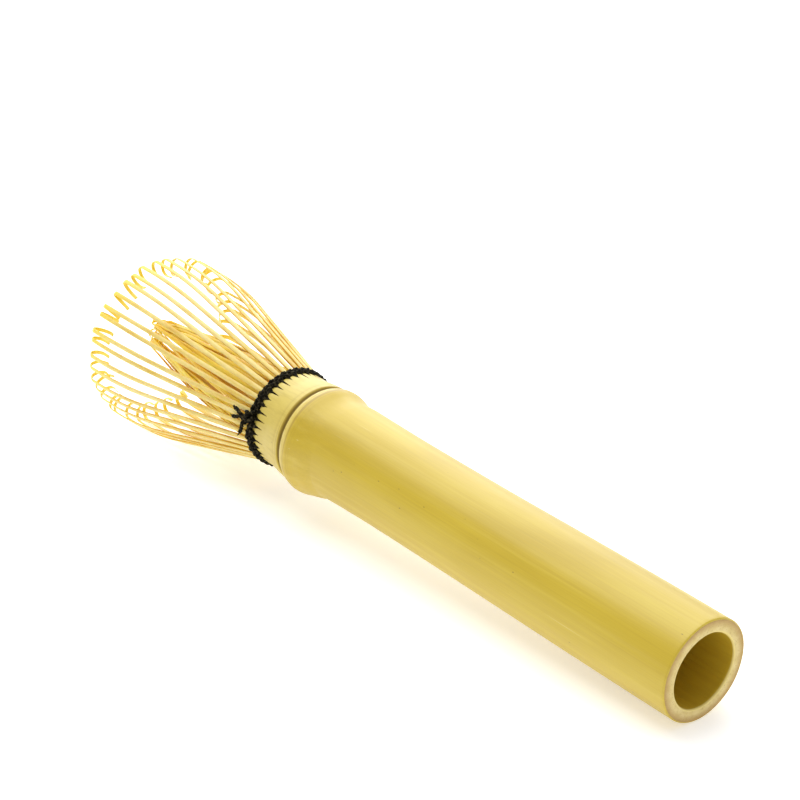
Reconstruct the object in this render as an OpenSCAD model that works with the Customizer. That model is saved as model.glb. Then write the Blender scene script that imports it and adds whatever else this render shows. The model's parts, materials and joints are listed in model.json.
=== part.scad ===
// Bamboo tea whisk (chasen), lying on its side on the handle's end and the lowest of its tines.
// Every sub-part is drawn about the whisk's own axis, with z = 0 at the handle's open end and
// z growing towards the tips, and lying() then lays the whole thing down: +X runs towards the
// head, +Z is up and z = 0 is the surface that it rests on. Millimetres throughout.

/* [Handle] */
// Length of the plain handle, from the open end to the foot of the node ridge
handle_len = 121; // [60:1:150]
// Outer radius of the handle at its open end
end_r = 12.6; // [11:0.1:14]
// Outer radius of the handle at its waist
waist_r = 12.3; // [10.5:0.1:12.5]
// Radius of the bore that runs up the handle
bore_r = 9.1; // [6:0.1:9.5]

/* [Node ridge] */
// Length of the node ridge, up to the groove
ridge_len = 12.3; // [8:0.1:16]
// Outer radius at the crest of the ridge
ridge_r = 14.3; // [13:0.1:15]
// Thickness of the septum that closes the culm at the node
septum_t = 3; // [2:0.5:5]

/* [Collar] */
// Length of the collar, from the groove to the top of the binding
collar_len = 13.9; // [10:0.1:20]
// Outer radius of the collar below the binding, past its tapered foot
collar_r = 12.8; // [12:0.1:13.5]
// Length of the splits that run down into the collar between the outer tines
split_len = 5.6; // [3:0.1:8]

/* [Outer tines] */
// Angle between the whisk's axis and the straight part of an outer tine
flare_angle = 14.4; // [8:0.05:16]
// Length of the straight, flaring part
flare_len = 35.5; // [20:0.5:45]
// Length of the bend that brings a tine parallel to the axis
bend_len = 20; // [12:0.5:25]
// Width of an outer tine at the binding
tine_w = 1.35; // [0.8:0.05:1.5]
// Width of an outer tine at its hook
tine_tip_w = 0.85; // [0.5:0.05:1.2]
// Radius of the curled hook at the end of an outer tine
hook_r = 2.45; // [1.5:0.05:3.5]

/* [Inner tines] */
// Length of an inner tine
inner_len = 61.5; // [45:0.5:63]
// Width of an inner tine at its root
inner_w = 0.9; // [0.5:0.05:1]
// Width of an inner tine at its tip
inner_tip_w = 0.5; // [0.3:0.05:0.6]

/* [Binding] */
// Diameter of the binding thread
thread_d = 0.85; // [0.6:0.05:1]
// Number of turns that the thread takes round the tines
thread_turns = 3; // [2:1:4]

/* [Hidden] */
tines = 40;
pitch = 360 / tines;
inner_layers = 3;
inner_nodes = 10;
inner_per_node = tines / inner_nodes;

// Stations along the axis
groove_w = 0.8;
groove_r = 13.25;
ridge_end = handle_len + ridge_len;
collar_top = ridge_end + collar_len;
septum_z = handle_len + 6;
throat_r = bore_r - 0.9;

// Tine sections, root to tip
tine_t = 1.0;
tine_tip_t = 0.45;
tine_root_r = collar_r + 0.2;
inner_t = 0.7;
inner_tip_t = 0.35;
inner_root_r = 10;
inner_root_heading = -2;
// Mean heading of each layer of inner tines, from the outermost layer to the innermost
inner_mean_heading = [-5.5, -6.75, -8.0];
// The layers end a little beyond one another, the innermost one last
inner_step = 0.7;

// Binding
seat_r = collar_r - 0.15;
thread_gap = 0.05;
seat_w = thread_turns * (thread_d + thread_gap) + 0.1;
weave = 0.12;
knot_angle = 107;
knot_z = collar_top - seat_w / 2;

// The flare's widest place, where the two lowest tines touch the ground
flare_r = tine_root_r - tine_t / 2 + flare_len * sin(flare_angle)
        + bend_len * sin(flare_angle / 2) + tine_tip_t / 2;
flare_z = collar_top + flare_len * cos(flare_angle) + bend_len * cos(flare_angle / 2);
reach = flare_r * cos(pitch / 2) + tine_tip_w / 2 * sin(pitch / 2);
lie_angle = atan((reach - end_r) / flare_z);

// Each of a kind differs a little from its neighbours: a repeatable value from -1 to 1
function wobble(k, seed) = sin(k * 137.5 + seed * 71 + 40 * sin(k * 53 + seed * 19));
// Smooth step from a to b as t goes from 0 to 1
function ease(a, b, t) = a + (b - a) * (1 - cos(180 * min(1, max(0, t)))) / 2;

// Running sums: where a path gets to that takes steps of the given lengths and headings
function along(p, len, heading) = p + len * [sin(heading), cos(heading)];

// An outer tine's path in its radial plane, as [distance, heading] stations
hook_span = 3.4;
hook_tail = 0.8;
bend_steps = 6;
hook_steps = 8;
function hook_turn(k) = -168 + 14 * wobble(k, 1);
function hook_radius(k) = hook_r + 0.2 * wobble(k, 2);
function hook_run(k) = hook_span + 0.7 * wobble(k, 3);
function outer_steps(k) = concat(
    [[flare_len / 2, flare_angle], [flare_len / 2, flare_angle]],
    [for (i = [0.5:bend_steps]) [bend_len / bend_steps, flare_angle * (1 - i / bend_steps)]],
    [[hook_run(k), 0]],
    [for (i = [0.5:hook_steps])
        [hook_radius(k) * abs(hook_turn(k)) / hook_steps * PI / 180, hook_turn(k) * i / hook_steps]],
    [[hook_tail, hook_turn(k)]]
);
// An inner tine leans in steadily more towards its tip
inner_steps_n = 8;
function inner_layer(k) = k % inner_layers;
function inner_lean(k) = 2 * inner_mean_heading[inner_layer(k)] - 2 * inner_root_heading;
function inner_length(k) = inner_len - inner_step * (inner_layers - 1 - inner_layer(k));
function inner_steps(k) = [for (i = [0.5:inner_steps_n])
    [inner_length(k) / inner_steps_n, inner_root_heading + inner_lean(k) * i / inner_steps_n]];

// The points that a path passes through
function path(start, steps) = [for (i = 0, p = start; i <= len(steps);
    p = i < len(steps) ? along(p, steps[i][0], steps[i][1]) : p, i = i + 1) p];
function mean_heading(steps, i) =
    (steps[max(0, i - 1)][1] + steps[min(len(steps) - 1, i)][1]) / 2;
// One face of a strip along a path: side is 1 for the outer face and -1 for the inner one
function face(points, steps, side, root_t, tip_t) = [for (i = [0:len(points) - 1])
    let (heading = mean_heading(steps, i), t = ease(root_t, tip_t, i / 4))
    points[i] + side * t / 2 * [cos(heading), -sin(heading)]];
function reversed(list) = [for (i = [len(list) - 1:-1:0]) list[i]];

// How far the whisk reaches along the ground: the hooks of the lower tines lie farthest out
outer_start = [tine_root_r - tine_t / 2, collar_top];
inner_start = [inner_root_r, collar_top];
function outer_angle(k) = (k - 0.5) * pitch;
head_x = tine_tip_t / 2 + max([for (k = [1:tines], p = path(outer_start, outer_steps(k)))
    p[1] * cos(lie_angle) + p[0] * cos(outer_angle(k)) * sin(lie_angle)]);
tail_x = -end_r * sin(lie_angle);

function two_digits(k) = k < 10 ? str("0", k) : str(k);
function outer_name(k) = str("outer_tine_", two_digits(k));
function inner_name(k) = str("inner_tines_", two_digits(k));

skin = [0.87, 0.79, 0.47];
flesh = [0.80, 0.68, 0.42];
tip_gold = [0.88, 0.72, 0.28];
black = [0.08, 0.08, 0.09];

// Lays a part that is drawn about the whisk's axis down on the ground
module lying() {
    translate([-(head_x + tail_x) / 2, 0, end_r * cos(lie_angle)])
        rotate([0, 90 - lie_angle, 0])
            children();
}

// The plain stem, with its bore right through and a slight waist
module handle_culm() {
    edge = 0.3;
    waist_from = 25;
    waist_at = 86;
    waist_to = 100;
    outline = [for (i = [0:6]) let (z = waist_from + (waist_at - waist_from) * i / 6)
        [ease(end_r, waist_r, i / 6), z]];
    rise = [for (i = [0:5]) let (z = waist_to + (handle_len - waist_to) * i / 5)
        [ease(waist_r, end_r, i / 5), z]];
    color(skin) lying()
        difference() {
            rotate_extrude($fn = 96)
                polygon(concat([[0, 0], [end_r - edge, 0], [end_r, edge]], outline, rise,
                    [[0, handle_len]]));
            translate([0, 0, -1])
                cylinder(h = handle_len + 2, r = bore_r, $fn = 96);
        }
}

// The swollen node, its rounded lip and the groove beyond it
module node_ridge() {
    crest_z = handle_len + 8.6;
    lip_z = ridge_end - groove_w;
    lip_r = 13.7;
    swell = [for (i = [0:6]) [ease(end_r, ridge_r, i / 6), handle_len + (crest_z - handle_len) * i / 6]];
    fall = [for (i = [1:4]) let (a = 90 * i / 4)
        [lip_r + (ridge_r - lip_r) * cos(a), crest_z + (lip_z - crest_z) * sin(a)]];
    color(skin) lying()
        rotate_extrude($fn = 96)
            polygon(concat([[throat_r, septum_z], [bore_r, handle_len]], swell, fall,
                [[groove_r, lip_z], [groove_r, ridge_end], [throat_r, ridge_end]]));
}

// The wall across the culm at the node, which closes the handle's bore
module node_septum() {
    color(flesh) lying()
        translate([0, 0, septum_z])
            cylinder(h = septum_t, r = throat_r, $fn = 96);
}

// The collar above the node, split into teeth at its top, with a seat for the binding
module collar() {
    foot_r = 13.6;
    waist_z = ridge_end + 8;
    seat_z = collar_top - seat_w;
    split_w = 0.7;
    outline = [for (i = [0:4]) [ease(foot_r, collar_r, i / 4), ridge_end + (waist_z - ridge_end) * i / 4]];
    color(skin) lying()
        difference() {
            rotate_extrude($fn = 96)
                polygon(concat([[bore_r, ridge_end]], outline,
                    [[collar_r + 0.15, seat_z], [seat_r, seat_z], [seat_r, collar_top], [bore_r, collar_top]]));
            for (k = [0:tines - 1])
                rotate(k * pitch)
                    translate([seat_r - 1.2, 0, collar_top])
                        rotate([90, 0, 90])
                            linear_extrude(2)
                                polygon([[0, -split_len], [split_w / 2, 0.1], [-split_w / 2, 0.1]]);
        }
}

// One strip that follows a path in the plane through the axis, narrowing from root to tip
module strip(start, steps, root_t, tip_t, root_w, tip_w) {
    points = path(start, steps);
    far_z = max([for (p = points) p[1]]) + 1;
    intersection() {
        rotate([90, 0, 0])
            linear_extrude(root_w, center = true)
                polygon(concat(face(points, steps, 1, root_t, tip_t),
                    reversed(face(points, steps, -1, root_t, tip_t))));
        rotate([90, 0, 90])
            linear_extrude(flare_r + 2)
                polygon([[-root_w / 2, collar_top - 1], [root_w / 2, collar_top - 1],
                    [tip_w / 2, far_z], [-tip_w / 2, far_z]]);
    }
}

// A tine of the outer ring: it flares, bends over and ends in a curled hook
module outer_tine(k) {
    color(tip_gold) lying()
        rotate(outer_angle(k))
            strip(outer_start, outer_steps(k), tine_t, tine_tip_t, tine_w, tine_tip_w);
}

// A few neighbouring tines of the inner ring, which lean in to a tuft round the axis
module inner_tines(group) {
    first = (group - 1) * inner_per_node;
    color(tip_gold) lying()
        for (k = [first:first + inner_per_node - 1])
            rotate(k * pitch)
                strip(inner_start, inner_steps(k), inner_t, inner_tip_t, inner_w, inner_tip_w);
}

// A tube swept along points, each ring square to the run of the points and turned towards side
module tube(points, r, sides, side) {
    last = len(points) - 1;
    rings = [for (i = [0:last])
        let (d = points[min(last, i + 1)] - points[max(0, i - 1)],
            u = d / norm(d),
            v0 = cross(u, side),
            v = v0 / norm(v0),
            w = cross(u, v))
        for (j = [0:sides - 1]) points[i] + r * (cos(360 * j / sides) * v + sin(360 * j / sides) * w)];
    sides_faces = [for (i = [0:last - 1], j = [0:sides - 1])
        let (a = i * sides + j, b = i * sides + (j + 1) % sides)
        [a, b, b + sides, a + sides]];
    ends = [[for (j = [sides - 1:-1:0]) j], [for (j = [0:sides - 1]) last * sides + j]];
    polyhedron(rings, concat(sides_faces, ends));
}

// A point at the given angle round the axis
function round_axis(r, angle, z) = [r * cos(angle), r * sin(angle), z];

// The black thread, wound round the tines and dipping into each split as it is woven
module binding_thread() {
    steps_per_tine = 2;
    turns = thread_turns - 0.25;
    steps = round(tines * steps_per_tine * turns);
    rise = thread_d + thread_gap;
    start_z = collar_top - seat_w + thread_d / 2 + thread_gap;
    color(black) lying()
        tube([for (i = [0:steps]) let (angle = 360 * turns * i / steps)
            round_axis(seat_r + thread_d / 2 + thread_gap + weave * (1 + cos(angle * tines + 180)) / 2,
                knot_angle + angle, start_z + rise * angle / 360)], thread_d / 2, 6, [0, 0, 1]);
}

// The knot that ends the binding
module thread_knot() {
    knot_r = 1.15;
    color(black) lying()
        translate(round_axis(seat_r + thread_d + knot_r, knot_angle, knot_z))
            sphere(r = knot_r, $fn = 24);
}

// A cut tail of the thread, from the knot outwards
module tail(span, rise, lift) {
    tail_steps = 5;
    from_r = seat_r + thread_d + 0.9;
    color(black) lying()
        tube([for (i = [0:tail_steps]) let (t = i / tail_steps)
            round_axis(from_r + lift * sin(100 * t), knot_angle + sign(span) * 4 + span * t,
                knot_z + rise * t)], thread_d / 2 - 0.05, 6, round_axis(1, knot_angle, 0));
}
module thread_tail_long() { tail(-26, 1.6, 1.2); }
module thread_tail_up() { tail(-7, 4.2, 1.0); }
module thread_tail_down() { tail(10, -3.6, 1.0); }

handle_culm();
node_ridge();
node_septum();
collar();
for (k = [1:tines])
    outer_tine(k);
for (k = [1:inner_nodes])
    inner_tines(k);
binding_thread();
thread_knot();
thread_tail_long();
thread_tail_up();
thread_tail_down();
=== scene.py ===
"""Bamboo tea whisk: the visual model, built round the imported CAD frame.

Every piece is drawn about the whisk's own axis, in millimetres: z = 0 at the handle's open end and
z grows towards the tips. WHISK then lays the pieces down where the CAD whisk lies.
Angles round the axis start at its underside and are in degrees.
"""
import json
import math
import random

import bpy
from mathutils import Matrix, Vector, noise


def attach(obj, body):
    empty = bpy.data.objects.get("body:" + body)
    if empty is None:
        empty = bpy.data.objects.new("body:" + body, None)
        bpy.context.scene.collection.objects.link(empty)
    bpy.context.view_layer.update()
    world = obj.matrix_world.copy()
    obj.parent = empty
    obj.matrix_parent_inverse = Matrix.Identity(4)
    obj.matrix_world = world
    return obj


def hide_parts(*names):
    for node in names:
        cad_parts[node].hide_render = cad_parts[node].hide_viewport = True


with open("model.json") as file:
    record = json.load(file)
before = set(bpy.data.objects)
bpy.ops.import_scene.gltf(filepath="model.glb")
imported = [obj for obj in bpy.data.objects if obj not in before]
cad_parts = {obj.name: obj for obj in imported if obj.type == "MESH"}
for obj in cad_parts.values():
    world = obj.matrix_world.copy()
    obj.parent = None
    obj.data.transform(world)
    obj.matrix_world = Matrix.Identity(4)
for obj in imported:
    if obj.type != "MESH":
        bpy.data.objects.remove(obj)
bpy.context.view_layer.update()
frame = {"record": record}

MM = 0.001
rng = random.Random(7)

# ---------------------------------------------------------------- the whisk's own axes
mounts = {m["name"]: m for m in frame["record"]["mounts"]}
bore = mounts["handle_bore"]
AXIS = -Vector(bore["axis"]).normalized()
SIDE = Vector((0, 1, 0))
UNDER = SIDE.cross(AXIS)
HANDLE_LEN = bore["dims"]["length_mm"]
BORE_R = bore["dims"]["r_mm"]
END = Vector(bore["pos_m"]) - AXIS * HANDLE_LEN * MM / 2
WHISK = Matrix((UNDER, SIDE, AXIS)).transposed().to_4x4()
WHISK.translation = END

# ---------------------------------------------------------------- sizes, in mm
# Stations along the axis, from the handle's open end
RIDGE_LEN = 12.3
COLLAR_LEN = 13.9
RIDGE_END = HANDLE_LEN + RIDGE_LEN
COLLAR_TOP = RIDGE_END + COLLAR_LEN
GROOVE_Z = RIDGE_END - 0.45
SEPTUM_Z = HANDLE_LEN + 6
SEPTUM_T = 3

# Radii of the culm
END_R = 12.6
WAIST_R = 12.3
RIDGE_R = 14.3
COLLAR_R = 12.8
THROAT_R = BORE_R - 0.9
# The node swells most on this side
SWELL_ANGLE = 36
# Points round the culm
CULM_SIDES = 160

# The tines
TINES = 40
PITCH = 360 / TINES
# All tines start this far below the collar's top
ROOT_DEPTH = 1.5
# An outer tine: a straight stretch at the flare's angle to the axis, then a bend back along the axis
FLARE = 14.4
FLARE_LEN = 35.5
BEND_LEN = 20
HOOK_RUN = 2.7
OUTER_ROOT_R = COLLAR_R - 0.35
# Width and thickness of an outer tine, by share of its length
OUTER_WIDTHS = [(0, 1.25), (0.22, 1.25), (0.6, 1.18), (0.85, 1.12), (1, 0.95)]
OUTER_THICKS = [(0, 0.8), (0.4, 0.55), (0.75, 0.36), (1, 0.2)]
# An inner tine starts at this radius, and narrows towards its curl
INNER_ROOT_R = 10.4
INNER_WIDTHS = [(0, 1.4), (0.5, 1.15), (0.9, 0.75), (1, 0.55)]
INNER_THICKS = [(0, 0.55), (1, 0.22)]
INNER_NODES = 10
INNER_PER_NODE = TINES // INNER_NODES
# The tuft leans this far off the axis, towards this angle
TUFT_OFF = 1.5
TUFT_ANGLE = 215

# The thread
THREAD_R = 0.52
THREAD_TURNS = 3
BAND_W = 3.0
BAND_Z = COLLAR_TOP - BAND_W / 2
BAND_FOOT = COLLAR_TOP - BAND_W
KNOT_ANGLE = 107


# ---------------------------------------------------------------- small maths
def smooth_through(stations, z):
    """The value at z of a smooth line through (z, value) stations, with no overshoot between them."""
    if z <= stations[0][0]:
        return stations[0][1]
    if z >= stations[-1][0]:
        return stations[-1][1]
    slopes = [(v1 - v0) / (z1 - z0) for (z0, v0), (z1, v1) in zip(stations, stations[1:])]
    i = next(i for i in range(len(slopes)) if z <= stations[i + 1][0])

    def tangent(j):
        if j == 0 or j == len(slopes) or slopes[j - 1] * slopes[j] <= 0:
            return 0.0
        return 2 * slopes[j - 1] * slopes[j] / (slopes[j - 1] + slopes[j])

    (z0, v0), (z1, v1) = stations[i], stations[i + 1]
    run = z1 - z0
    t = (z - z0) / run
    start = v0 * (1 + 2 * t) * (1 - t) ** 2 + v1 * t * t * (3 - 2 * t)
    return start + run * (tangent(i) * t * (1 - t) ** 2 - tangent(i + 1) * t * t * (1 - t))


def polar(r, angle, z):
    """The point at a radius and an angle round the axis."""
    a = math.radians(angle)
    return Vector((r * math.cos(a), r * math.sin(a), z))


def wander(seed, t, size):
    """A slow random drift along t, the same in each run."""
    return size * noise.noise(Vector((seed * 7.31, t, 0.5)))


# ---------------------------------------------------------------- mesh building
def piece(name, verts, faces, materials, nodes, face_materials=None, sharp=40):
    """A mesh object from millimetre points, standing for the CAD nodes."""
    mesh = bpy.data.meshes.new(name)
    mesh.from_pydata([Vector(v) * MM for v in verts], [], faces)
    for material in materials:
        mesh.materials.append(material)
    if face_materials:
        mesh.polygons.foreach_set("material_index", face_materials)
    mesh.polygons.foreach_set("use_smooth", [True] * len(mesh.polygons))
    mesh.validate()
    mesh.update()
    mesh.set_sharp_from_angle(angle=math.radians(sharp))
    obj = bpy.data.objects.new(name, mesh)
    bpy.context.scene.collection.objects.link(obj)
    obj.matrix_world = WHISK
    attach(obj, "root")
    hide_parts(*nodes)
    return obj


def ring_faces(rings, sides, closed_loop=False):
    """Quads between rings of the same number of points; closed_loop joins the last to the first."""
    faces = []
    last = rings if closed_loop else rings - 1
    for i in range(last):
        a = i * sides
        b = (i + 1) % rings * sides
        for j in range(sides):
            k = (j + 1) % sides
            faces.append((a + j, a + k, b + k, b + j))
    return faces


def sweep(points, sections, across):
    """A closed strip or rope: one section of (u, v) points at each point of a path.

    v points to the side given by across, u along the cross product of the path and v.
    """
    verts = []
    last = len(points) - 1
    for i, (p, section) in enumerate(zip(points, sections)):
        run = (points[min(last, i + 1)] - points[max(0, i - 1)]).normalized()
        v_axis = across[i] - run * across[i].dot(run)
        v_axis.normalize()
        u_axis = run.cross(v_axis)
        verts += [p + u_axis * u + v_axis * v for u, v in section]
    sides = len(sections[0])
    faces = ring_faces(last + 1, sides)
    faces.append(tuple(reversed(range(sides))))
    faces.append(tuple(last * sides + j for j in range(sides)))
    return verts, faces


def joined(parts):
    """Several (verts, faces) as one."""
    verts = []
    faces = []
    for part_verts, part_faces in parts:
        base = len(verts)
        verts += part_verts
        faces += [tuple(base + i for i in face) for face in part_faces]
    return verts, faces


def lathe(outline, sides, shape):
    """A closed ring turned from an outline of (radius, z, tag); shape moves each point a little."""
    verts = []
    for r, z, tag in outline:
        for j in range(sides):
            angle = 360 * j / sides
            verts.append(polar(shape(r, angle, z, tag), angle, z))
    return verts, ring_faces(len(outline), sides, closed_loop=True)


# ---------------------------------------------------------------- material building
class Nodes:
    """Short names for the shader nodes that the materials share."""

    def __init__(self, name):
        self.material = bpy.data.materials.new(name)
        self.material.use_nodes = True
        self.tree = self.material.node_tree
        self.shader = self.tree.nodes["Principled BSDF"]
        self.place = self.tree.nodes.new("ShaderNodeTexCoord").outputs["Object"]

    def add(self, kind, inputs=(), **settings):
        """A new node with its settings, each input a number, a colour or another node's output."""
        node = self.tree.nodes.new(kind)
        for key, value in settings.items():
            setattr(node, key, value)
        for key, value in dict(inputs).items():
            self.put(node.inputs[key], value)
        return node

    def put(self, socket, value):
        if isinstance(value, bpy.types.NodeSocket):
            self.tree.links.new(value, socket)
        else:
            socket.default_value = value

    def scaled(self, x, y, z):
        """The piece's own coordinates in mm, each stretched by a factor."""
        factors = (x / MM, y / MM, z / MM)
        node = self.add("ShaderNodeVectorMath", {0: self.place, 1: factors}, operation="MULTIPLY")
        return node.outputs[0]

    def noise(self, where, detail=3.0, rough=0.5, warp=0.0):
        """Soft clouds, about 1 unit of where across, from 0 to 1."""
        node = self.add("ShaderNodeTexNoise", {"Vector": where, "Scale": 1.0, "Detail": detail,
                                               "Roughness": rough, "Distortion": warp})
        return node.outputs["Fac"]

    def cells(self, where):
        """Distance to the nearest of points strewn about 1 unit of where apart."""
        node = self.add("ShaderNodeTexVoronoi", {"Vector": where, "Scale": 1.0}, feature="F1")
        return node.outputs["Distance"]

    def ramp(self, value, *stops):
        """A colour that changes with value, through stops of (value, colour)."""
        node = self.add("ShaderNodeValToRGB", {"Fac": value})
        elements = node.color_ramp.elements
        while len(elements) < len(stops):
            elements.new(0.5)
        for element, (place, colour) in zip(elements, stops):
            element.position = place
            element.color = colour if len(colour) == 4 else (*colour, 1)
        return node.outputs["Color"]

    def grey(self, value, low, high):
        """0 below low, 1 above high, straight in between; low may lie above high."""
        node = self.add("ShaderNodeMapRange", {"Value": value, "From Min": low, "From Max": high})
        return node.outputs["Result"]

    def maths(self, operation, a, b=0.0):
        return self.add("ShaderNodeMath", {0: a, 1: b}, operation=operation).outputs[0]

    def times(self, *values):
        """The product of two or more values."""
        product = values[0]
        for value in values[1:]:
            product = self.maths("MULTIPLY", product, value)
        return product

    def mix(self, amount, a, b, blend="MIX"):
        """Colour a, with an amount of colour b over it."""
        node = self.add("ShaderNodeMix", data_type="RGBA", blend_type=blend)
        self.put(node.inputs["Factor"], amount)
        self.put(node.inputs["A"], a)
        self.put(node.inputs["B"], b)
        return node.outputs["Result"]

    def radius(self):
        """Distance from the whisk's axis, in mm."""
        flat = self.scaled(1, 1, 0)
        return self.add("ShaderNodeVectorMath", {0: flat}, operation="LENGTH").outputs["Value"]

    def height(self):
        """Distance along the whisk's axis, in mm."""
        return self.add("ShaderNodeSeparateXYZ", {0: self.scaled(1, 1, 1)}).outputs["Z"]

    def finish(self, colour, rough, bump=None, depth=0.05, **constants):
        """The material, with its bump's depth in mm and the shader's constant inputs."""
        self.put(self.shader.inputs["Base Color"], colour)
        self.put(self.shader.inputs["Roughness"], rough)
        for key, value in constants.items():
            self.shader.inputs[key.replace("_", " ")].default_value = value
        if bump is not None:
            node = self.add("ShaderNodeBump", {"Height": bump, "Strength": 1.0, "Distance": depth * MM})
            self.put(self.shader.inputs["Normal"], node.outputs["Normal"])
        return self.material


def rgb(r, g, b):
    """A colour given as it looks on a screen, from 0 to 255."""
    def linear(c):
        return ((c / 255 + 0.055) / 1.055) ** 2.4 if c > 10 else c / 255 / 12.92

    return linear(r), linear(g), linear(b), 1


def skin_material():
    """The culm's waxy skin: gold, paler on the collar, with streaks, flecks and the node's marks."""
    n = Nodes("bamboo_skin")
    z = n.height()
    # Gold in soft clouds, under streaks and fibres that run along the culm
    clouds = n.noise(n.scaled(0.05, 0.05, 0.012), detail=4, warp=0.6)
    streaks = n.noise(n.scaled(1.1, 1.1, 0.012), detail=5, rough=0.65)
    pale = n.noise(n.scaled(0.35, 0.35, 0.004), detail=3)
    fine = n.noise(n.scaled(5.5, 5.5, 0.05), detail=3)
    base = n.ramp(clouds, (0.30, rgb(187, 160, 32)), (0.50, rgb(198, 172, 43)), (0.72, rgb(209, 186, 62)))
    base = n.mix(n.times(n.grey(streaks, 0.45, 0.8), 0.3), base, rgb(182, 150, 30))
    base = n.mix(n.times(n.grey(pale, 0.5, 0.75), 0.3), base, rgb(224, 204, 100))
    fibres = n.ramp(fine, (0.3, rgb(130, 110, 50)), (0.7, rgb(250, 240, 190)))
    base = n.mix(0.08, base, fibres, "OVERLAY")
    # The collar is pared thinner and its skin is paler
    base = n.mix(n.times(n.grey(z, GROOVE_Z, GROOVE_Z + 1.5), 0.5), base, rgb(216, 198, 114))
    pared = n.times(n.grey(z, GROOVE_Z + 0.5, GROOVE_Z + 2), n.grey(streaks, 0.5, 0.66))
    base = n.mix(n.times(pared, 0.3), base, rgb(174, 152, 52))
    # Warm stain on the swelling
    stain = n.times(n.grey(z, HANDLE_LEN - 10, HANDLE_LEN + 8), n.grey(z, GROOVE_Z, GROOVE_Z - 1))
    base = n.mix(n.times(stain, n.grey(clouds, 0.35, 0.7)), base, rgb(197, 168, 30))
    # The pale lip, the fine rings on both sides of the groove, and the olive groove
    blotches = n.noise(n.scaled(0.35, 0.35, 0.6), detail=4)
    lip = n.times(n.grey(z, GROOVE_Z - 3.6, GROOVE_Z - 1), n.grey(z, GROOVE_Z + 0.4, GROOVE_Z))
    base = n.mix(n.times(lip, n.grey(blotches, 0.2, 0.6)), base, rgb(222, 202, 120))
    rings = n.noise(n.scaled(0.03, 0.03, 2.3), detail=1)
    ring_zone = n.times(n.grey(z, GROOVE_Z - 5, GROOVE_Z - 2), n.grey(z, GROOVE_Z + 3, GROOVE_Z))
    lines = n.times(ring_zone, n.grey(rings, 0.5, 0.6))
    base = n.mix(n.times(lines, 0.7), base, rgb(150, 116, 34))
    off = n.maths("ABSOLUTE", n.maths("SUBTRACT", z, GROOVE_Z))
    base = n.mix(n.times(n.grey(off, 0.75, 0.28), 0.95), base, rgb(106, 84, 2))
    # Flecks, longer than wide, and only here and there
    spots = n.grey(n.cells(n.scaled(0.42, 0.42, 0.2)), 0.07, 0.03)
    sparse = n.grey(n.noise(n.scaled(0.09, 0.09, 0.04), detail=1), 0.46, 0.56)
    base = n.mix(n.times(spots, sparse, 0.7), base, rgb(112, 82, 20))
    # Long, thin scratches that show paler
    scratches = n.grey(n.cells(n.scaled(0.8, 0.8, 0.008)), 0.075, 0.03)
    rubbed = n.grey(n.noise(n.scaled(0.07, 0.07, 0.02), detail=1), 0.45, 0.55)
    base = n.mix(n.times(scratches, rubbed, 0.5), base, rgb(238, 226, 160))
    # Scuffed gloss, and a dull groove
    scuffs = n.noise(n.scaled(0.3, 0.3, 0.02), detail=6, rough=0.6)
    rough = n.ramp(scuffs, (0.3, (0.38,) * 3), (0.6, (0.43,) * 3), (0.8, (0.50,) * 3))
    rough = n.mix(n.grey(off, 1.1, 0.6), rough, (0.95, 0.95, 0.95, 1))
    grain = n.maths("ADD", n.times(fine, 0.4), n.times(lines, 1.5))
    return n.finish(base, rough, grain, depth=0.012, Coat_Weight=0.15, Coat_Roughness=0.4)


def flesh_material():
    """Cut bamboo: pale, dotted with fibre ends that crowd towards the skin, darker up the bore."""
    n = Nodes("bamboo_flesh")
    r = n.radius()
    z = n.height()
    clouds = n.noise(n.scaled(0.5, 0.5, 0.03), detail=4)
    base = n.ramp(clouds, (0.3, rgb(212, 188, 116)), (0.7, rgb(228, 208, 144)))
    # Fibre ends: few and large near the bore, many and small near the skin
    coarse = n.grey(n.cells(n.scaled(1.9, 1.9, 0.02)), 0.32, 0.18)
    dense = n.grey(n.cells(n.scaled(4.2, 4.2, 0.02)), 0.42, 0.25)
    dots = n.mix(n.grey(r, BORE_R + 0.8, END_R - 0.5), coarse, dense)
    base = n.mix(n.times(dots, 0.4), base, rgb(156, 120, 60))
    # Browner towards the skin, with a dark edge outside and a pale one at the bore
    base = n.mix(n.times(n.grey(r, BORE_R + 1.3, END_R - 0.3), 0.85), base, rgb(172, 130, 62))
    base = n.mix(n.grey(r, END_R - 0.5, END_R - 0.2), base, rgb(140, 98, 42))
    base = n.mix(n.grey(r, BORE_R + 0.6, BORE_R + 0.3), base, rgb(238, 218, 136))
    # The bore's wall, streaked along its length
    streaks = n.noise(n.scaled(0.7, 0.7, 0.03), detail=4, rough=0.5)
    wall = n.ramp(streaks, (0.3, rgb(186, 152, 16)), (0.7, rgb(195, 162, 26)))
    inside = n.times(n.grey(z, 0.15, 0.5), n.grey(r, BORE_R + 1.1, BORE_R + 0.6))
    base = n.mix(inside, base, wall)
    grain = n.maths("ADD", n.times(dots, -0.6), streaks)
    return n.finish(base, 0.72, grain, depth=0.08)


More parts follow.
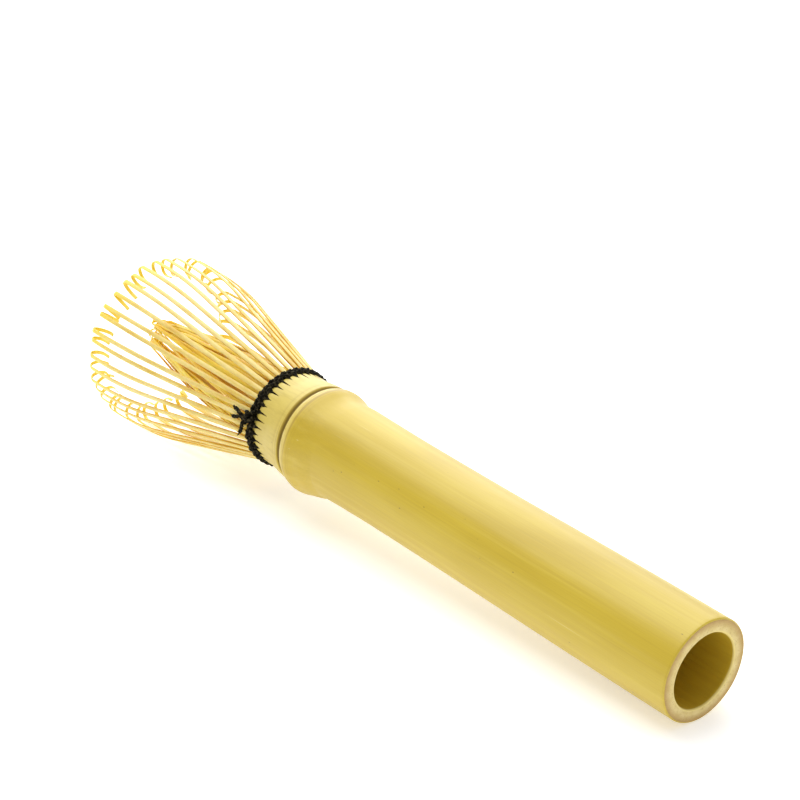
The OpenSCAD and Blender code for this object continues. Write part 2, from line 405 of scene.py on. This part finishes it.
def tine_material(name, pale, mid, deep, painted_tip_light_and_shade, painted_tip_from):
    """Split bamboo: streaked lengthways, each strip its own tone, with a painted colour from a given height
    to the tips: painted light shining through the thin curls, painted deep shade in the inner tuft.
    """
    n = Nodes(name)
    strips = n.noise(n.scaled(0.42, 0.42, 0.008), detail=2)
    base = n.ramp(strips, (0.3, deep), (0.5, mid), (0.72, pale))
    fibres = n.noise(n.scaled(5, 5, 0.12), detail=4, rough=0.6)
    light_and_dark = n.ramp(fibres, (0.3, rgb(150, 108, 40)), (0.7, rgb(255, 244, 196)))
    base = n.mix(0.22, base, light_and_dark, "OVERLAY")
    # Painted light and shade towards the tips: lemon stands for light shining through the thin curls of the
    # outer tines and cut sides, orange for the deep shade inside the inner tuft
    base = n.mix(n.times(n.grey(n.height(), painted_tip_from, painted_tip_from + 14), 0.85), base, painted_tip_light_and_shade)
    rough = n.ramp(fibres, (0.3, (0.38,) * 3), (0.7, (0.55,) * 3))
    scatter = (0.5 * MM, 0.42 * MM, 0.14 * MM)
    return n.finish(base, rough, fibres, depth=0.04,
                    Subsurface_Weight=0.45, Subsurface_Radius=scatter, Subsurface_Scale=1.0)


def thread_material():
    """Black twisted thread: fine fibres whose brightest tone is partly painted sheen, and dusty grey
    patches of painted highlight.
    """
    n = Nodes("black_thread")
    fibres = n.noise(n.scaled(6, 6, 6), detail=6, rough=0.7)
    # Painted highlights: dusty grey patches strewn at random over the black
    painted_highlights = n.noise(n.scaled(1.6, 1.6, 1.6), detail=3)
    # Fibre tones from black to dusty brown; the brightest is partly fibre colour, partly painted sheen
    base = n.ramp(fibres, (0.3, rgb(4, 3, 0)), (0.6, rgb(18, 15, 6)), (0.8, rgb(60, 52, 30)))
    base = n.mix(n.times(n.grey(painted_highlights, 0.5, 0.64), 0.6), base, rgb(86, 78, 54))
    return n.finish(base, 0.6, fibres, depth=0.1, Specular_IOR_Level=0.05, Sheen_Weight=0.01)


def floor_material():
    """A pale matte sweep with the faintest tooth, and a little light of its own to keep it white."""
    n = Nodes("studio_floor")
    tooth = n.noise(n.scaled(0.02, 0.02, 0.02), detail=3)
    base = n.ramp(tooth, (0.3, rgb(240, 240, 239)), (0.7, rgb(246, 246, 246)))
    return n.finish(base, 0.85, Emission_Color=(1, 1, 1, 1), Emission_Strength=0.4)


HOOKS_FROM = COLLAR_TOP + 46
SKIN = skin_material()
FLESH = flesh_material()
# The tip colours are painted: lemon for light shining through the outer curls and the cut sides, orange for
# the deep shade in the inner tuft
OUTER = tine_material("tine_outer", pale=rgb(230, 214, 148), mid=rgb(223, 202, 122),
                      deep=rgb(210, 179, 80), painted_tip_light_and_shade=rgb(246, 219, 66), painted_tip_from=HOOKS_FROM)
INNER = tine_material("tine_inner", pale=rgb(234, 216, 92), mid=rgb(226, 198, 56),
                      deep=rgb(213, 173, 22), painted_tip_light_and_shade=rgb(232, 176, 30), painted_tip_from=HOOKS_FROM + 4)
# The cut sides of every strip, and the inner face of the inner ones
EDGE = tine_material("tine_edge", pale=rgb(228, 188, 40), mid=rgb(217, 170, 18),
                     deep=rgb(200, 148, 4), painted_tip_light_and_shade=rgb(246, 212, 34), painted_tip_from=HOOKS_FROM)
THREAD = thread_material()


# ---------------------------------------------------------------- the culm
def culm_radius(z):
    """Outer radius of the culm: the waist, the swollen node, its lip and groove, the tapered collar."""
    return smooth_through([
        # The handle and its waist
        (0, END_R), (30, END_R - 0.05), (88, WAIST_R), (100, WAIST_R + 0.02), (112, WAIST_R + 0.2),
        # The swelling
        (HANDLE_LEN, WAIST_R + 0.45), (HANDLE_LEN + 2.5, WAIST_R + 0.72),
        (HANDLE_LEN + 5.5, RIDGE_R - 0.75), (HANDLE_LEN + 9, RIDGE_R + 0.05),
        # The lip and the groove
        (GROOVE_Z - 1.7, RIDGE_R - 0.12), (GROOVE_Z - 0.9, RIDGE_R - 0.45),
        (GROOVE_Z - 0.35, RIDGE_R - 0.95), (GROOVE_Z, RIDGE_R - 1.05), (GROOVE_Z + 0.35, RIDGE_R - 0.95),
        # The collar
        (GROOVE_Z + 0.9, RIDGE_R - 0.68), (GROOVE_Z + 2.5, RIDGE_R - 0.75),
        (GROOVE_Z + 5, RIDGE_R - 1.05), (GROOVE_Z + 8, COLLAR_R + 0.05), (COLLAR_TOP, COLLAR_R),
    ], z)


def node_swelling(z):
    """How far the node stands out on its fuller side, and falls short on the other."""
    return smooth_through([
        (HANDLE_LEN - 1, 0), (HANDLE_LEN + 4.5, 0.6), (HANDLE_LEN + 9, 0.55), (RIDGE_END, 0.35),
        (RIDGE_END + 5, 0.15), (RIDGE_END + 9, 0),
    ], z)


def culm_shape(r, angle, z, tag):
    """The culm is never quite round: its skin ripples, the node leans to one side, the bore is uneven."""
    if tag == "bore":
        three_sided = 0.08 * math.sin(math.radians(3 * angle + 40))
        return r + three_sided + 0.1 * wander(3, z / 9 + angle / 60, 1)
    if tag == "cut":
        return r
    a = math.radians(angle)
    oval = 0.05 * math.cos(2 * a + 0.6) - 0.05
    ripple = 0.10 * noise.noise(Vector((math.cos(a) * 1.6, math.sin(a) * 1.6, z / 45)))
    flutes = 0.018 * noise.noise(Vector((math.cos(a) * 9, math.sin(a) * 9, z / 60)))
    swell = math.cos(a - math.radians(SWELL_ANGLE)) * node_swelling(z)
    return r + oval + ripple + flutes + swell


def span(start, stop, step):
    """Evenly spaced values from start to stop, both included."""
    count = max(1, round((stop - start) / step))
    return [start + (stop - start) * i / count for i in range(count + 1)]


def skin_then_flesh(faces, skin_rows):
    """Material 0, the skin, on the first rows of a lathed shape, and material 1, the flesh, on the rest."""
    return [0 if i // CULM_SIDES < skin_rows else 1 for i in range(len(faces))]


def handle():
    """The stem: skin outside, a square-cut end with broken edges, and the bore."""
    edge = 0.35
    edge_steps = 4
    cut_rings = 6
    rim = []
    for i in range(edge_steps + 1):
        a = math.radians(90 * i / edge_steps)
        rim.append((culm_radius(0) - edge + edge * math.sin(a), edge - edge * math.cos(a), "skin"))
    outside = [(culm_radius(z), z, "skin") for z in span(1.2, HANDLE_LEN, 1.9)]
    inside = [(BORE_R, z, "bore") for z in reversed(span(1.0, HANDLE_LEN, 4.0))]
    lip = [(BORE_R + 0.05, 0.35, "bore"), (BORE_R + 0.25, 0.05, "cut")]
    cut_from = BORE_R + 0.3
    cut_width = culm_radius(0) - edge - BORE_R - 0.5
    face = [(cut_from + cut_width * i / cut_rings, 0, "cut") for i in range(cut_rings + 1)]
    verts, faces = lathe(rim + outside + inside + lip + face, CULM_SIDES, culm_shape)
    materials = skin_then_flesh(faces, len(rim) + len(outside) - 1)
    return piece("handle", verts, faces, [SKIN, FLESH], ["handle_culm"], materials)


def ridge():
    """The swollen node, its lip and the dark groove."""
    step = 0.5
    groove_step = 0.12
    groove_from = RIDGE_END - 2
    rows = span(HANDLE_LEN, groove_from, step) + span(groove_from + groove_step, RIDGE_END, groove_step)
    outside = [(culm_radius(z), z, "skin") for z in rows]
    throat = [(THROAT_R, RIDGE_END, "bore"), (THROAT_R, SEPTUM_Z, "bore"), (BORE_R, HANDLE_LEN, "bore")]
    verts, faces = lathe(outside + throat, CULM_SIDES, culm_shape)
    materials = skin_then_flesh(faces, len(rows) - 1)
    return piece("node_ridge_swelling", verts, faces, [SKIN, FLESH], ["node_ridge"],
                 materials)


def septum():
    """The thin wall across the culm, dished and wrinkled as it grows."""
    rings = 8
    dish = 0.9
    wrinkles = 7
    hole = 0.02
    under = []
    over = []
    for i in range(rings + 1):
        r = THROAT_R * (hole + (1 - hole) * i / rings)
        under.append((r, SEPTUM_Z + dish * (1 - (i / rings) ** 2), "cut"))
        over.append((r, SEPTUM_Z + SEPTUM_T, "cut"))

    def wrinkle(r, angle, z, tag):
        return r + 0.05 * math.sin(math.radians(wrinkles * angle)) * r / THROAT_R

    verts, faces = lathe(under + over[::-1], 64, wrinkle)
    return piece("septum_wall", verts, faces, [FLESH], ["node_septum"])


def collar():
    """The collar, split into a tooth for each outer tine; the splits run down to uneven depths."""
    columns = 8
    groove_rows = span(RIDGE_END, RIDGE_END + 1, 0.12)
    rows = groove_rows + span(RIDGE_END + 1.4, COLLAR_TOP, 0.42)
    last = len(rows) - 1
    tooth_in = 2.4
    seat_in = 0.2
    crown_out = 0.05
    # Each split ends up to 4 rows above the deepest one
    split_len = 6.6
    gap_top = 1.2
    deepest = min(range(len(rows)), key=lambda i: abs(rows[i] - (COLLAR_TOP - split_len)))
    split_row = [deepest + rng.randrange(0, 5) for _ in range(TINES)]
    verts = []
    index = {}

    def split_width(k, row):
        """Half the width of the split after tooth k, at a row."""
        start = rows[split_row[k % TINES]]
        t = (rows[row] - start) / (COLLAR_TOP - start)
        return 0 if t <= 0 else gap_top / 2 * t ** 0.8

    def vertex(k, column, row, inner):
        """One corner of the grid; below the splits, teeth share their edges."""
        if column == columns and row <= split_row[k % TINES]:
            k, column = k + 1, 0
        key = (k % TINES, column, row, inner)
        if key not in index:
            z = rows[row]
            outer_r = culm_radius(z)
            if z > BAND_FOOT:
                outer_r -= seat_in
            left = math.degrees(split_width(k - 1, row) / outer_r)
            right = math.degrees(split_width(k, row) / outer_r)
            angle = (k - 1) * PITCH + left + (PITCH - left - right) * column / columns
            r = culm_shape(outer_r, angle, z, "skin")
            crown = crown_out * math.sin(math.pi * column / columns) * min(1, split_width(k, row) * 4)
            index[key] = len(verts)
            verts.append(polar(r - tooth_in if inner else r + crown, angle, z))
        return index[key]

    faces = []
    materials = []

    def face(corners, material):
        faces.append(tuple(corners))
        materials.append(material)

    for k in range(1, TINES + 1):
        for row in range(last):
            # Skin outside, flesh inside
            for c in range(columns):
                face((vertex(k, c, row, 0), vertex(k, c + 1, row, 0),
                      vertex(k, c + 1, row + 1, 0), vertex(k, c, row + 1, 0)), 0)
                face((vertex(k, c, row, 1), vertex(k, c, row + 1, 1),
                      vertex(k, c + 1, row + 1, 1), vertex(k, c + 1, row, 1)), 1)
            # The two walls of a split
            for c, neighbour in ((0, k - 1), (columns, k)):
                if row >= split_row[neighbour % TINES]:
                    wall = [vertex(k, c, row, 0), vertex(k, c, row + 1, 0),
                            vertex(k, c, row + 1, 1), vertex(k, c, row, 1)]
                    wall = list(dict.fromkeys(wall))
                    face(reversed(wall) if c else wall, 1)
        # The tooth's top and the collar's foot
        for c in range(columns):
            face((vertex(k, c, last, 0), vertex(k, c + 1, last, 0),
                  vertex(k, c + 1, last, 1), vertex(k, c, last, 1)), 1)
            face((vertex(k, c + 1, 0, 0), vertex(k, c, 0, 0),
                  vertex(k, c, 0, 1), vertex(k, c + 1, 0, 1)), 1)
    return piece("split_collar", verts, faces, [SKIN, FLESH], ["collar"],
                 materials, sharp=35)


# ---------------------------------------------------------------- the tines
# Faces round a strip's section, in the order of the points of strip_section
SECTION_SIDES = 9
CUT_SIDES = (3, 8)
INNER_FACE = (0, 1, 2)


def strip_section(width, thick):
    """A split of bamboo: crowned on the skin side, flat inside, with broken corners."""
    w, t = width / 2, thick / 2
    return [(-w, -t * 0.7), (-w * 0.82, -t), (w * 0.82, -t), (w, -t * 0.7),
            (w, t * 0.4), (w * 0.75, t * 0.85), (0, t * 1.1), (-w * 0.75, t * 0.85), (-w, t * 0.4)]


def strip_materials(rings, edges, strips=1):
    """Material 1 on the given faces of each section and on the two ends, material 0 on the rest."""
    one_strip = [1 if j in edges else 0 for _ in range(rings - 1) for j in range(SECTION_SIDES)] + [1, 1]
    return one_strip * strips


def outer_steps(flare, hook_run, hook_r, hook_turn, hook_skew, tail_len):
    """The steps along an outer tine: (length, heading from the axis, skew to the side)."""
    flare_count, bend_count, run_count, curl_count, tail_count = 22, 12, 2, 18, 3
    steps = [(FLARE_LEN / flare_count, flare, 0)] * flare_count
    for i in range(bend_count):
        steps.append((BEND_LEN / bend_count, flare * (1 - (i + 0.5) / bend_count), 0))
    steps += [(hook_run / run_count, 0, 0)] * run_count
    for i in range(curl_count):
        t = (i + 0.5) / curl_count
        steps.append((hook_r * math.radians(hook_turn) / curl_count, -hook_turn * t, hook_skew * t))
    steps += [(tail_len / tail_count, -hook_turn, hook_skew)] * tail_count
    return steps


def outer_tine(k):
    """One tine of the outer ring: it flares, bends over and ends in a curl of its own."""
    spread = rng.uniform(-0.35, 0.35)
    # The two lowest tines carry the head, so they all but touch the ground
    flare = FLARE - 0.15 if k in (1, TINES) else FLARE + spread
    lean = rng.uniform(-0.8, 0.8)
    hook_r = rng.uniform(2.15, 2.75)
    hook_turn = rng.uniform(158, 205)
    hook_skew = rng.uniform(-14, 14)
    hook_run = HOOK_RUN + rng.uniform(-0.8, 1.1)
    tail_len = rng.uniform(0.6, 1.7)
    steps = outer_steps(flare, hook_run, hook_r, hook_turn, hook_skew, tail_len)
    total = sum(length for length, _, _ in steps)

    outward = polar(1, (k - 0.5) * PITCH, 0)
    sideways = polar(1, (k - 0.5) * PITCH + 90, 0)
    up = Vector((0, 0, 1))
    r = OUTER_ROOT_R
    z = COLLAR_TOP - ROOT_DEPTH
    side = 0.0
    gone = 0.0
    points, across, sections = [], [], []
    for i in range(len(steps) + 1):
        drift = wander(k, gone / 30, 0.22) * min(1, gone / 20)
        points.append(outward * (r + drift * 0.4) + sideways * (side + drift) + up * z)
        length, heading, skew = steps[min(i, len(steps) - 1)]
        h = math.radians(heading)
        across.append(outward * math.cos(h) - up * math.sin(h))
        width = smooth_through(OUTER_WIDTHS, gone / total) * (1 + wander(k + 50, gone / 9, 0.1))
        sections.append(strip_section(width, smooth_through(OUTER_THICKS, gone / total)))
        if i < len(steps):
            r += length * math.sin(h)
            z += length * math.cos(h)
            side += length * math.sin(math.radians(lean + skew))
            gone += length
    verts, faces = sweep(points, sections, across)
    name = f"{k:02d}"
    return piece("tine_" + name, verts, faces, [OUTER, EDGE], ["outer_tine_" + name],
                 strip_materials(len(points), CUT_SIDES))


def inner_tine(k, bunch_angle, bunch_r):
    """One strip of the inner ring: it leans in with its bunch and ends in a small curl."""
    steps = 34
    lean_power = 1.9
    root_angle = k * PITCH + rng.uniform(-1.5, 1.5)
    root = polar(INNER_ROOT_R, root_angle, 0)
    tuft = polar(TUFT_OFF, TUFT_ANGLE, 0)
    end = tuft + polar(bunch_r + rng.uniform(-0.9, 0.7), bunch_angle + rng.uniform(-28, 28), 0)
    length = rng.uniform(55.5, 60.5)
    bow = polar(rng.uniform(-0.9, 0.9), root_angle + 90, 0)
    twist = rng.uniform(-35, 35)
    points, across, sections = [], [], []
    for i in range(steps + 1):
        t = i / steps
        p = root.lerp(end, t ** lean_power) + bow * math.sin(math.pi * t)
        p += Vector((wander(k + 90, t * 5, 0.5), wander(k + 130, t * 5, 0.5), 0)) * min(1, 4 * t)
        p.z = COLLAR_TOP - ROOT_DEPTH + (length + ROOT_DEPTH) * t
        points.append(p)
        across.append(polar(1, root_angle + twist * t, 0))
        sections.append(strip_section(smooth_through(INNER_WIDTHS, t), smooth_through(INNER_THICKS, t)))

    # The curl at the tip turns in, out or sideways
    curl_steps = 8
    curl_r = rng.uniform(0.8, 1.6)
    curl_turn = rng.uniform(80, 215)
    run = (points[-1] - points[-2]).normalized()
    lean = polar(1, bunch_angle + rng.uniform(120, 240), 0)
    lean = (lean - run * lean.dot(run)).normalized()
    start = points[-1]
    for i in range(1, curl_steps + 1):
        a = math.radians(curl_turn * i / curl_steps)
        points.append(start + run * curl_r * math.sin(a) + lean * curl_r * (1 - math.cos(a)))
        across.append(run * math.sin(a) - lean * math.cos(a))
        sections.append(strip_section(0.6 - 0.015 * i, 0.22 - 0.008 * i))
    # Turn the strip's flat face smoothly into the curl
    blend = 8
    for i in range(steps - blend, steps + 1):
        t = (i - steps + blend) / blend
        across[i] = across[i].lerp(-lean, t)
        if across[i].length < 0.2:
            across[i] = across[i - 1]
    return sweep(points, sections, across), len(points)


def inner_tines():
    """The inner ring, a few strips to a node; neighbours gather into uneven bunches."""
    for group in range(INNER_NODES):
        first = group * INNER_PER_NODE
        middle = (first + (INNER_PER_NODE - 1) / 2) * PITCH
        bunch_angle = middle + rng.uniform(-14, 14)
        bunch_r = rng.uniform(2.9, 5.1)
        strips = []
        for k in range(first, first + INNER_PER_NODE):
            strip, rings = inner_tine(k, bunch_angle, bunch_r)
            strips.append(strip)
        verts, faces = joined(strips)
        name = f"{group + 1:02d}"
        piece("tuft_strips_" + name, verts, faces, [INNER, EDGE], ["inner_tines_" + name],
              strip_materials(rings, CUT_SIDES + INNER_FACE, INNER_PER_NODE))


# ---------------------------------------------------------------- the thread
def rope_sections(count, radius, twist_per_step):
    """Two plies twisted round each other: a waisted section that turns along the rope."""
    sides = 14
    waist = 0.70
    ply = 0.38
    sections = []
    for i in range(count):
        turn = math.radians(twist_per_step * i)
        section = []
        for j in range(sides):
            a = 2 * math.pi * j / sides
            r = radius * (waist + ply * abs(math.cos(a - turn)) ** 0.8)
            section.append((r * math.cos(a), r * math.sin(a)))
        sections.append(section)
    return sections


def rope(points, radius=THREAD_R, lay=1.9):
    """A twisted thread along points; lay is the length of one full turn of its plies."""
    step = sum((b - a).length for a, b in zip(points, points[1:])) / (len(points) - 1)
    sections = rope_sections(len(points), radius, 360 * step / lay)
    # The sections are turned towards a direction that the thread doesn't run in
    run = (points[-1] - points[0]).normalized()
    side = Vector((0.3, 0.2, 1)) if abs(run.z) < 0.8 else Vector((1, 0.3, 0))
    return sweep(points, sections, [side] * len(points))


def bent(points, steps):
    """A smooth curve through points (Catmull-Rom)."""
    ends = [points[0] * 2 - points[1]] + list(points) + [points[-1] * 2 - points[-2]]
    curve = []
    for i in range(1, len(ends) - 2):
        p0, p1, p2, p3 = ends[i - 1:i + 3]
        for s in range(steps):
            t = s / steps
            curve.append(0.5 * (2 * p1 + (p2 - p0) * t + (2 * p0 - 5 * p1 + 4 * p2 - p3) * t * t
                                + (3 * p1 - p0 - 3 * p2 + p3) * t ** 3))
    curve.append(ends[-2].copy())
    return curve


def thread_turns():
    """The thread's turns, which weave in and out round the tines."""
    turns = THREAD_TURNS - 0.05
    steps_per_tine = 16
    steps = round(TINES * steps_per_tine * turns)
    points = []
    for i in range(steps + 1):
        angle = KNOT_ANGLE + 360 * turns * i / steps
        course = int(360 * turns * i / steps // 360)
        phase = math.radians(angle * TINES)
        # The middle turn is woven the opposite way to the two beside it
        weave = 0.24 * math.cos(phase + math.pi * (course % 2)) + 0.08 * wander(11, i / 20, 1)
        z = BAND_FOOT + THREAD_R + (BAND_W - 2 * THREAD_R) * i / steps
        z += 0.16 * math.sin(phase / 2 + course * 2.1) + 0.12 * wander(17, i / 25, 1)
        points.append(polar(COLLAR_R + 0.18 + weave * 0.8, angle, z))
    return rope(points, lay=1.7)


def bight(angle, depth):
    """A short loop of thread that the weaving leaves in a split, below the turns."""
    low = BAND_FOOT - depth
    curve = bent([polar(COLLAR_R + 0.25, angle - 1.9, BAND_FOOT + 0.5),
                  polar(COLLAR_R - 0.15, angle - 0.5, low + 0.6),
                  polar(COLLAR_R - 0.5, angle + 0.2, low - 0.2),
                  polar(COLLAR_R - 0.15, angle + 0.7, low + 0.8),
                  polar(COLLAR_R + 0.25, angle + 2.1, BAND_FOOT + 0.6)], 6)
    return rope(curve, radius=0.36, lay=1.4)


def binding():
    """The band: the thread's turns, with a bight in each split."""
    parts = [thread_turns()]
    for k in range(TINES):
        parts.append(bight(k * PITCH, rng.uniform(0.8, 1.7)))
    verts, faces = joined(parts)
    return piece("woven_thread", verts, faces, [THREAD], ["binding_thread"], sharp=70)


def at_knot(out, around, along):
    """A point near the knot: mm outwards from the band, mm around it and mm along the whisk."""
    r = COLLAR_R + 0.6 + out
    return polar(r, KNOT_ANGLE - math.degrees(around / r), BAND_Z + along)


def knot():
    """An overhand knot of the same thread, drawn tight against the band."""
    steps = 96
    # The loop stops a little short of its own start
    loop = 0.97
    size = 0.46
    points = []
    for i in range(steps + 1):
        t = 2 * math.pi * i / steps * loop
        around = size * (math.sin(t) + 2 * math.sin(2 * t))
        along = size * 1.1 * (math.cos(t) - 2 * math.cos(2 * t))
        points.append(at_knot(0.95 - 0.55 * math.sin(3 * t), around, along))
    second = bent([at_knot(0.2, -2.0, -1.4), at_knot(1.2, -0.9, -0.3), at_knot(1.5, 0.2, 0.3),
                   at_knot(0.9, 1.3, 0.9), at_knot(0.2, 2.1, 1.3)], 10)
    verts, faces = joined([rope(points), rope(second)])
    return piece("overhand_knot", verts, faces, [THREAD], ["thread_knot"], sharp=70)


def tail(name, node, route):
    """A cut tail along a route of at_knot points, its plies frayed apart at the end."""
    frays = 7
    fray_spread = 0.55
    curve = bent([at_knot(*p) for p in route], 9)
    parts = [rope(curve)]
    end = curve[-1]
    run = (curve[-1] - curve[-3]).normalized()
    for _ in range(frays):
        spread = Vector([rng.uniform(-1, 1) for _ in range(3)]) * fray_spread
        reach = rng.uniform(0.5, 1.1)
        fibre = bent([end - run * 0.5, end + run * 0.25 + spread * 0.2,
                      end + run * reach + spread * 0.8], 4)
        parts.append(rope(fibre, radius=0.12, lay=0.8))
    verts, faces = joined(parts)
    return piece(name, verts, faces, [THREAD], [node], sharp=70)


def thread_tails():
    """The three cut tails, each along its own short route out of the knot."""
    tail("long_tail", "thread_tail_long",
         [(0.5, 0.4, 0.3), (1.4, 1.6, 0.7), (1.5, 2.9, 1.0), (1.2, 4.1, 1.5), (1.4, 5.0, 1.9)])
    tail("upper_tail", "thread_tail_up",
         [(0.7, 0.2, 0.6), (1.7, 0.5, 2.0), (1.9, 1.2, 3.4), (1.7, 1.5, 4.6)])
    tail("side_tail", "thread_tail_down",
         [(0.7, 0.2, 0.4), (1.9, -0.2, 1.6), (2.3, -0.9, 2.9), (2.2, -1.0, 3.9)])


handle()
ridge()
septum()
collar()
for number in range(1, TINES + 1):
    outer_tine(number)
inner_tines()
binding()
knot()
thread_tails()


# ---------------------------------------------------------------- the studio
def floor():
    """A wide white floor under the whisk."""
    half = 4.0
    corners = [(-half, -half, 0), (half, -half, 0), (half, half, 0), (-half, half, 0)]
    mesh = bpy.data.meshes.new("floor")
    mesh.from_pydata(corners, [], [(0, 1, 2, 3)])
    mesh.materials.append(floor_material())
    obj = bpy.data.objects.new("floor", mesh)
    bpy.context.scene.collection.objects.link(obj)


def softbox(name, place, size, watts):
    """A large, soft white lamp that points at the whisk."""
    light = bpy.data.lights.new(name, "AREA")
    light.shape = "RECTANGLE"
    light.size, light.size_y = size
    light.energy = watts
    obj = bpy.data.objects.new(name, light)
    bpy.context.scene.collection.objects.link(obj)
    obj.location = place
    aim = Vector((0, 0, 0.02))
    obj.rotation_euler = (aim - Vector(place)).to_track_quat("-Z", "Y").to_euler()


def white_room(strength):
    """White all round: full white as seen, and at the given strength as a light."""
    world = bpy.data.worlds.new("white_room")
    bpy.context.scene.world = world
    world.use_nodes = True
    nodes = world.node_tree.nodes
    links = world.node_tree.links
    background = nodes["Background"]
    background.inputs["Color"].default_value = (1, 1, 1, 1)
    seen = nodes.new("ShaderNodeLightPath").outputs["Is Camera Ray"]
    amount = nodes.new("ShaderNodeMapRange")
    amount.inputs["To Min"].default_value = strength
    amount.inputs["To Max"].default_value = 1.0
    links.new(seen, amount.inputs["Value"])
    links.new(amount.outputs["Result"], background.inputs["Strength"])


def camera():
    """The view: from the handle's end, above and to one side, through a long lens."""
    azimuth = math.radians(140.03)
    elevation = math.radians(24.37)
    distance = 0.5479
    aim = Vector((0.0103, -0.0110, 0.0333))
    flat = math.cos(elevation)
    towards = Vector((math.cos(azimuth) * flat, math.sin(azimuth) * flat, math.sin(elevation)))
    data = bpy.data.cameras.new("camera")
    data.lens = 99.0
    data.sensor_width = 36.0
    data.clip_start = 0.01
    obj = bpy.data.objects.new("camera", data)
    bpy.context.scene.collection.objects.link(obj)
    obj.location = aim + towards * distance
    obj.rotation_euler = (-towards).to_track_quat("-Z", "Y").to_euler()
    bpy.context.scene.camera = obj


floor()
white_room(strength=0.6)
softbox("overhead", place=(0.28, -0.05, 0.85), size=(1.0, 0.8), watts=6.9)
softbox("behind", place=(0.62, -0.50, 0.42), size=(0.9, 0.6), watts=4.2)
camera()
bpy.context.scene.view_settings.view_transform = "Standard"
